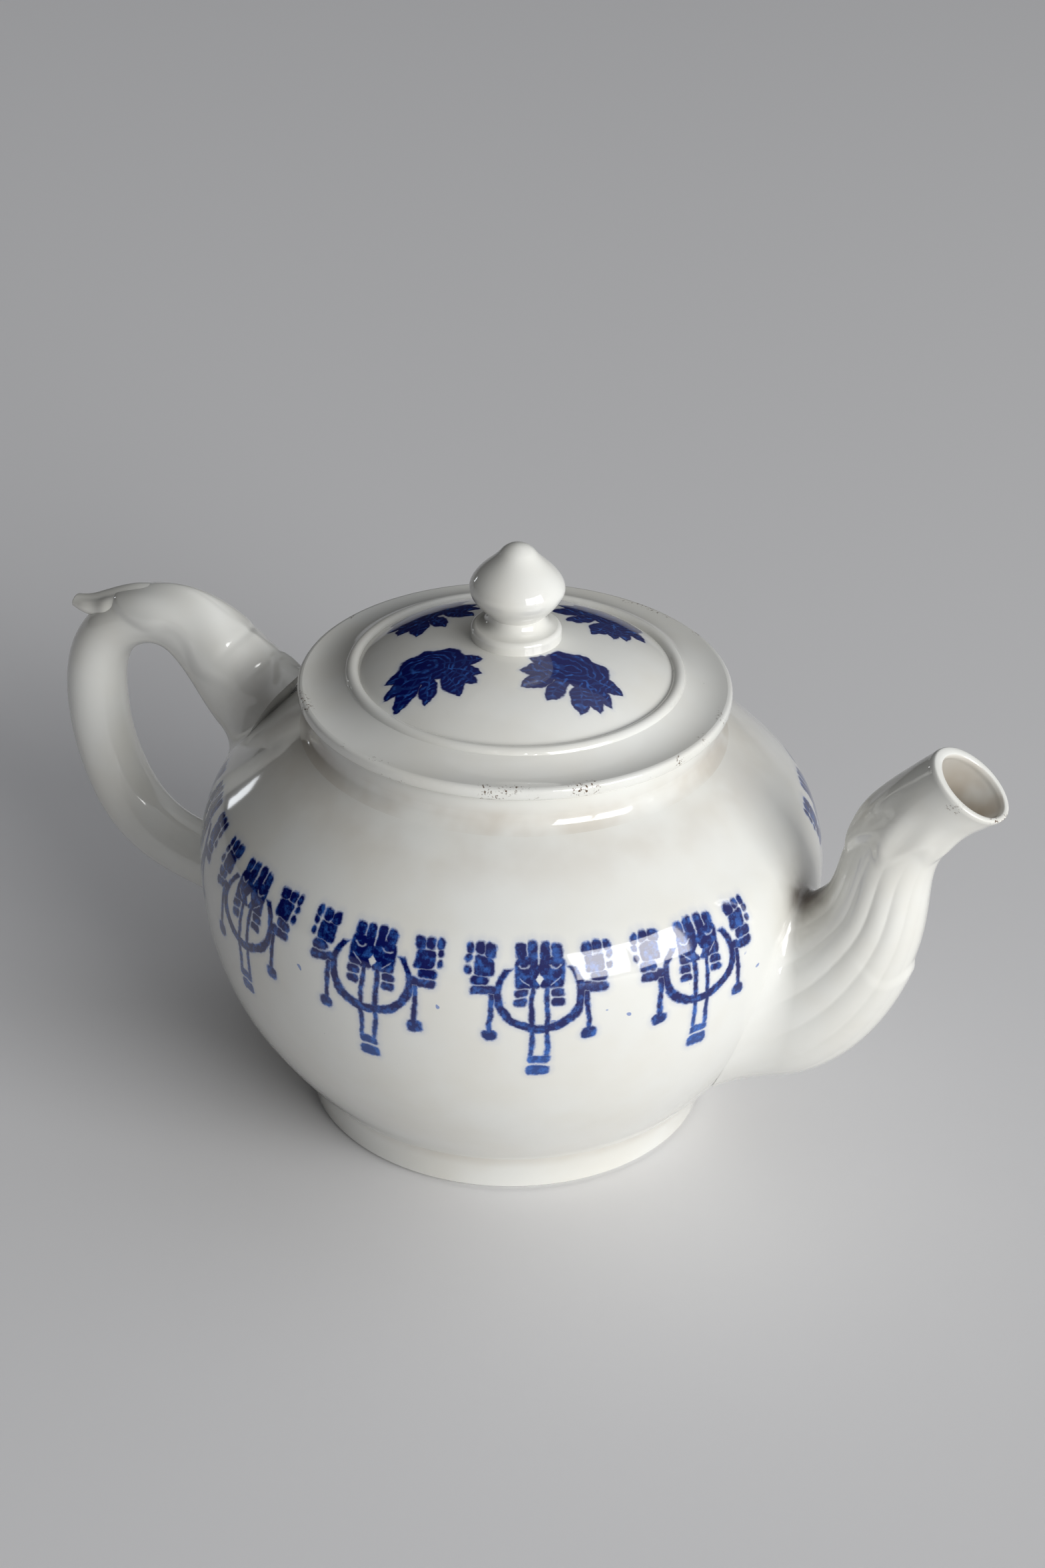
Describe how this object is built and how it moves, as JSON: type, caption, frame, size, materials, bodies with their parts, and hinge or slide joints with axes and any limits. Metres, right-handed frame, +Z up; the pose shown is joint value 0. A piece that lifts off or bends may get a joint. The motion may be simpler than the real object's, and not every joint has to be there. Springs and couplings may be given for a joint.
{
  "type": "teapot",
  "caption": "Round-bellied porcelain teapot with a swan-neck spout, a loop handle with a thumb rest, and a loose domed lid with an onion knob.",
  "frame": {"origin": "centre of the foot ring, in the plane the pot stands on", "axes": "+Z up, +X towards the spout, so the handle is towards -X"},
  "size_m": [0.2392, 0.147, 0.1446],
  "materials": {
    "printed_porcelain": "warm white gloss glaze over a cobalt blue underglaze print",
    "porcelain": "warm white gloss glaze"
  },
  "bodies": {
    "pot": {"pot_body": "printed_porcelain", "foot_ring": "porcelain", "neck_collar": "porcelain", "spout": "porcelain", "handle": "porcelain", "thumb_rest": "porcelain"},
    "lid": {"lid_cover": "printed_porcelain", "lid_flange": "porcelain", "lid_knob": "porcelain"}
  },
  "joints": [
    {"name": "lid_lift", "type": "slide", "parent": "pot", "child": "lid", "axis": [0, 0, 1], "range_m": [0, 0.06]}
  ]
}
